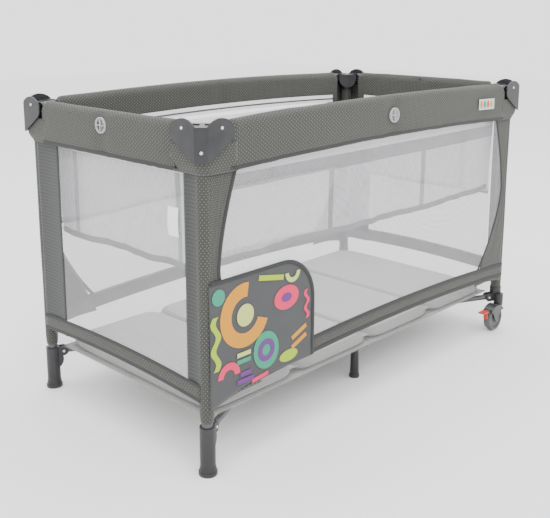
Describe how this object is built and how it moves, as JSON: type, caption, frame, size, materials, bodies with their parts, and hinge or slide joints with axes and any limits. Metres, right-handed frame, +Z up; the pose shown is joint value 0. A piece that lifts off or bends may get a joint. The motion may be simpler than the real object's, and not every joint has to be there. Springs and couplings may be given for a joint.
{
  "type": "travel play yard",
  "caption": "Folding play yard: padded hinged top rails on corner posts, mesh walls, hanging liner, folding mattress, diagonal floor struts, feet and braked casters.",
  "frame": {"origin": "on the floor under the middle of the play yard", "axes": "+X along the length towards the castered end, +Y towards the rear long side, +Z up"},
  "size_m": [1.258, 0.678, 0.7699],
  "materials": {
    "grey_tube": "satin grey paint",
    "charcoal_shell": "smooth gloss",
    "black_plastic": "moulded satin",
    "button_plastic": "moulded satin",
    "wheel_plastic": "moulded satin",
    "red_plastic": "smooth gloss",
    "grey_fabric": "dotted woven cloth",
    "white_mesh": "open knitted net",
    "pale_fabric": "plain woven cloth"
  },
  "bodies": {
    "post_fl": {"post_tube_fl": "grey_tube", "corner_bracket_fl": "charcoal_shell", "foot_fl": "black_plastic", "wall_front": "grey_fabric", "wall_left": "grey_fabric", "upper_liner": "white_mesh"},
    "post_fr": {"post_tube_fr": "grey_tube", "corner_bracket_fr": "charcoal_shell", "caster_foot_fr": "black_plastic", "wall_right": "grey_fabric"},
    "post_rl": {"post_tube_rl": "grey_tube", "corner_bracket_rl": "charcoal_shell", "foot_rl": "black_plastic", "wall_rear": "grey_fabric"},
    "post_rr": {"post_tube_rr": "grey_tube", "corner_bracket_rr": "charcoal_shell", "caster_foot_rr": "black_plastic"},
    "strut_fl": {"strut_fl": "grey_tube"},
    "strut_fr": {"strut_fr": "grey_tube"},
    "strut_rl": {"strut_rl": "grey_tube"},
    "strut_rr": {"strut_rr": "grey_tube"},
    "centre_hub": {"centre_hub": "black_plastic", "fabric_floor": "pale_fabric"},
    "clip_fl": {"clip_fl": "black_plastic"},
    "clip_fr": {"clip_fr": "black_plastic"},
    "clip_rl": {"clip_rl": "black_plastic"},
    "clip_rr": {"clip_rr": "black_plastic"},
    "side_tube_fl": {"side_tube_fl": "grey_tube"},
    "side_tube_fr": {"side_tube_fr": "grey_tube"},
    "side_tube_rl": {"side_tube_rl": "grey_tube"},
    "side_tube_rr": {"side_tube_rr": "grey_tube"},
    "side_hub_front": {"side_hub_front": "black_plastic"},
    "side_hub_rear": {"side_hub_rear": "black_plastic"},
    "rail_front_a": {"rail_front_a": "grey_tube", "lock_front": "black_plastic", "rail_cover_front": "grey_fabric"},
    "rail_front_b": {"rail_front_b": "grey_tube"},
    "button_front": {"release_button_front": "button_plastic"},
    "rail_rear_a": {"rail_rear_a": "grey_tube", "lock_rear": "black_plastic", "rail_cover_rear": "grey_fabric"},
    "rail_rear_b": {"rail_rear_b": "grey_tube"},
    "button_rear": {"release_button_rear": "button_plastic"},
    "rail_left_a": {"rail_left_a": "grey_tube", "lock_left": "black_plastic", "rail_cover_left": "grey_fabric"},
    "rail_left_b": {"rail_left_b": "grey_tube"},
    "button_left": {"release_button_left": "button_plastic"},
    "rail_right_a": {"rail_right_a": "grey_tube", "lock_right": "black_plastic", "rail_cover_right": "grey_fabric"},
    "rail_right_b": {"rail_right_b": "grey_tube"},
    "button_right": {"release_button_right": "button_plastic"},
    "caster_fr": {"caster_fork_fr": "black_plastic"},
    "wheel_fr": {"caster_wheel_fr": "wheel_plastic"},
    "brake_fr": {"brake_lever_fr": "red_plastic"},
    "caster_rr": {"caster_fork_rr": "black_plastic"},
    "wheel_rr": {"caster_wheel_rr": "wheel_plastic"},
    "brake_rr": {"brake_lever_rr": "red_plastic"},
    "mattress": {"mattress": "pale_fabric"}
  },
  "joints": [
    {"name": "fold", "type": "hinge", "parent": "post_fl", "child": "strut_fl", "pos_m": [-0.57062, -0.2934, 0.097], "axis": [0.4295, -0.9031, 0], "range_deg": [0, 75], "deforming": ["wall_front", "wall_rear", "wall_left", "wall_right", "upper_liner", "fabric_floor", "mattress"]},
    {"name": "hub_level", "type": "hinge", "parent": "strut_fl", "child": "centre_hub", "pos_m": [-0.01762, -0.0304, 0.097], "axis": [0.4295, -0.9031, 0], "range_deg": [-75, 0]},
    {"name": "strut_fr_fold", "type": "hinge", "parent": "centre_hub", "child": "strut_fr", "pos_m": [0.01762, -0.0304, 0.097], "axis": [0.4295, 0.9031, 0], "range_deg": [0, 75]},
    {"name": "post_fr_level", "type": "hinge", "parent": "strut_fr", "child": "post_fr", "pos_m": [0.57062, -0.2934, 0.097], "axis": [0.4295, 0.9031, 0], "range_deg": [-75, 0]},
    {"name": "strut_rl_fold", "type": "hinge", "parent": "centre_hub", "child": "strut_rl", "pos_m": [-0.01762, 0.0304, 0.097], "axis": [-0.4295, -0.9031, 0], "range_deg": [0, 75]},
    {"name": "post_rl_level", "type": "hinge", "parent": "strut_rl", "child": "post_rl", "pos_m": [-0.57062, 0.2934, 0.097], "axis": [-0.4295, -0.9031, 0], "range_deg": [-75, 0]},
    {"name": "strut_rr_fold", "type": "hinge", "parent": "centre_hub", "child": "strut_rr", "pos_m": [0.01762, 0.0304, 0.097], "axis": [-0.4295, 0.9031, 0], "range_deg": [0, 75]},
    {"name": "post_rr_level", "type": "hinge", "parent": "strut_rr", "child": "post_rr", "pos_m": [0.57062, 0.2934, 0.097], "axis": [-0.4295, 0.9031, 0], "range_deg": [-75, 0]},
    {"name": "clip_fl_level", "type": "hinge", "parent": "strut_fl", "child": "clip_fl", "pos_m": [-0.37154, -0.19872, 0.097], "axis": [0.4295, -0.9031, 0], "range_deg": [-75, 0]},
    {"name": "side_tube_fl_fold", "type": "hinge", "parent": "clip_fl", "child": "side_tube_fl", "pos_m": [-0.38392, -0.226, 0.097], "axis": [0, -1, 0], "range_deg": [0, 75]},
    {"name": "clip_fr_level", "type": "hinge", "parent": "strut_fr", "child": "clip_fr", "pos_m": [0.37154, -0.19872, 0.097], "axis": [0.4295, 0.9031, 0], "range_deg": [-75, 0]},
    {"name": "side_tube_fr_fold", "type": "hinge", "parent": "clip_fr", "child": "side_tube_fr", "pos_m": [0.38392, -0.226, 0.097], "axis": [0, 1, 0], "range_deg": [0, 75]},
    {"name": "clip_rl_level", "type": "hinge", "parent": "strut_rl", "child": "clip_rl", "pos_m": [-0.37154, 0.19872, 0.097], "axis": [-0.4295, -0.9031, 0], "range_deg": [-75, 0]},
    {"name": "side_tube_rl_fold", "type": "hinge", "parent": "clip_rl", "child": "side_tube_rl", "pos_m": [-0.38392, 0.226, 0.097], "axis": [0, -1, 0], "range_deg": [0, 75]},
    {"name": "clip_rr_level", "type": "hinge", "parent": "strut_rr", "child": "clip_rr", "pos_m": [0.37154, 0.19872, 0.097], "axis": [-0.4295, 0.9031, 0], "range_deg": [-75, 0]},
    {"name": "side_tube_rr_fold", "type": "hinge", "parent": "clip_rr", "child": "side_tube_rr", "pos_m": [0.38392, 0.226, 0.097], "axis": [0, 1, 0], "range_deg": [0, 75]},
    {"name": "side_hub_front_level", "type": "hinge", "parent": "side_tube_fl", "child": "side_hub_front", "pos_m": [-0.03, -0.226, 0.097], "axis": [0, -1, 0], "range_deg": [-75, 0]},
    {"name": "side_hub_rear_level", "type": "hinge", "parent": "side_tube_rl", "child": "side_hub_rear", "pos_m": [-0.03, 0.226, 0.097], "axis": [0, -1, 0], "range_deg": [-75, 0]},
    {"name": "rail_front_drop", "type": "hinge", "parent": "post_fl", "child": "rail_front_a", "pos_m": [-0.553, -0.315, 0.742], "axis": [0, 1, 0], "range_deg": [0, 75]},
    {"name": "rail_front_centre", "type": "hinge", "parent": "rail_front_a", "child": "rail_front_b", "pos_m": [0, -0.315, 0.742], "axis": [0, 1, 0], "range_deg": [-150, 0], "deforming": ["rail_cover_front"]},
    {"name": "button_front_press", "type": "slide", "parent": "rail_front_a", "child": "button_front", "axis": [0, 1, 0], "range_m": [0, 0.0035], "stiffness_N_per_m": 900},
    {"name": "rail_rear_drop", "type": "hinge", "parent": "post_rl", "child": "rail_rear_a", "pos_m": [-0.553, 0.315, 0.742], "axis": [0, 1, 0], "range_deg": [0, 75]},
    {"name": "rail_rear_centre", "type": "hinge", "parent": "rail_rear_a", "child": "rail_rear_b", "pos_m": [0, 0.315, 0.742], "axis": [0, 1, 0], "range_deg": [-150, 0], "deforming": ["rail_cover_rear"]},
    {"name": "button_rear_press", "type": "slide", "parent": "rail_rear_a", "child": "button_rear", "axis": [0, -1, 0], "range_m": [0, 0.0035], "stiffness_N_per_m": 900},
    {"name": "rail_left_drop", "type": "hinge", "parent": "post_fl", "child": "rail_left_a", "pos_m": [-0.605, -0.263, 0.742], "axis": [-1, 0, 0], "range_deg": [0, 75]},
    {"name": "rail_left_centre", "type": "hinge", "parent": "rail_left_a", "child": "rail_left_b", "pos_m": [-0.605, 0, 0.742], "axis": [-1, 0, 0], "range_deg": [-150, 0], "deforming": ["rail_cover_left"]},
    {"name": "button_left_press", "type": "slide", "parent": "rail_left_a", "child": "button_left", "axis": [1, 0, 0], "range_m": [0, 0.0035], "stiffness_N_per_m": 900},
    {"name": "rail_right_drop", "type": "hinge", "parent": "post_fr", "child": "rail_right_a", "pos_m": [0.605, -0.263, 0.742], "axis": [-1, 0, 0], "range_deg": [0, 75]},
    {"name": "rail_right_centre", "type": "hinge", "parent": "rail_right_a", "child": "rail_right_b", "pos_m": [0.605, 0, 0.742], "axis": [-1, 0, 0], "range_deg": [-150, 0], "deforming": ["rail_cover_right"]},
    {"name": "button_right_press", "type": "slide", "parent": "rail_right_a", "child": "button_right", "axis": [-1, 0, 0], "range_m": [0, 0.0035], "stiffness_N_per_m": 900},
    {"name": "caster_fr_swivel", "type": "hinge", "parent": "post_fr", "child": "caster_fr", "pos_m": [0.59, -0.32, 0.08], "axis": [0, 0, 1], "continuous": true},
    {"name": "wheel_fr_roll", "type": "hinge", "parent": "caster_fr", "child": "wheel_fr", "pos_m": [0.562, -0.32, 0.038], "axis": [0, 1, 0], "continuous": true},
    {"name": "brake_fr_press", "type": "hinge", "parent": "caster_fr", "child": "brake_fr", "pos_m": [0.522, -0.32, 0.068], "axis": [0, 1, 0], "range_deg": [-12, 0]},
    {"name": "caster_rr_swivel", "type": "hinge", "parent": "post_rr", "child": "caster_rr", "pos_m": [0.59, 0.32, 0.08], "axis": [0, 0, 1], "continuous": true},
    {"name": "wheel_rr_roll", "type": "hinge", "parent": "caster_rr", "child": "wheel_rr", "pos_m": [0.562, 0.32, 0.038], "axis": [0, 1, 0], "continuous": true},
    {"name": "brake_rr_press", "type": "hinge", "parent": "caster_rr", "child": "brake_rr", "pos_m": [0.522, 0.32, 0.068], "axis": [0, 1, 0], "range_deg": [-12, 0]},
    {"name": "mattress_lift", "type": "slide", "parent": "centre_hub", "child": "mattress", "axis": [0, 0, 1], "range_m": [0, 0.08]}
  ],
  "couplings": [
    {"joint": "hub_level", "follows": "fold", "ratio": -1},
    {"joint": "strut_fr_fold", "follows": "fold", "ratio": 1},
    {"joint": "post_fr_level", "follows": "fold", "ratio": -1},
    {"joint": "strut_rl_fold", "follows": "fold", "ratio": 1},
    {"joint": "post_rl_level", "follows": "fold", "ratio": -1},
    {"joint": "strut_rr_fold", "follows": "fold", "ratio": 1},
    {"joint": "post_rr_level", "follows": "fold", "ratio": -1},
    {"joint": "clip_fl_level", "follows": "fold", "ratio": -1},
    {"joint": "side_tube_fl_fold", "follows": "fold", "ratio": 1},
    {"joint": "clip_fr_level", "follows": "fold", "ratio": -1},
    {"joint": "side_tube_fr_fold", "follows": "fold", "ratio": 1},
    {"joint": "clip_rl_level", "follows": "fold", "ratio": -1},
    {"joint": "side_tube_rl_fold", "follows": "fold", "ratio": 1},
    {"joint": "clip_rr_level", "follows": "fold", "ratio": -1},
    {"joint": "side_tube_rr_fold", "follows": "fold", "ratio": 1},
    {"joint": "side_hub_front_level", "follows": "fold", "ratio": -1},
    {"joint": "side_hub_rear_level", "follows": "fold", "ratio": -1},
    {"joint": "rail_front_drop", "follows": "fold", "ratio": 1},
    {"joint": "rail_front_centre", "follows": "fold", "ratio": -2},
    {"joint": "rail_rear_drop", "follows": "fold", "ratio": 1},
    {"joint": "rail_rear_centre", "follows": "fold", "ratio": -2},
    {"joint": "rail_left_drop", "follows": "fold", "ratio": 1},
    {"joint": "rail_left_centre", "follows": "fold", "ratio": -2},
    {"joint": "rail_right_drop", "follows": "fold", "ratio": 1},
    {"joint": "rail_right_centre", "follows": "fold", "ratio": -2},
    {"joint": "mattress_lift", "follows": "fold", "m_per_rad": 0.061109}
  ]
}
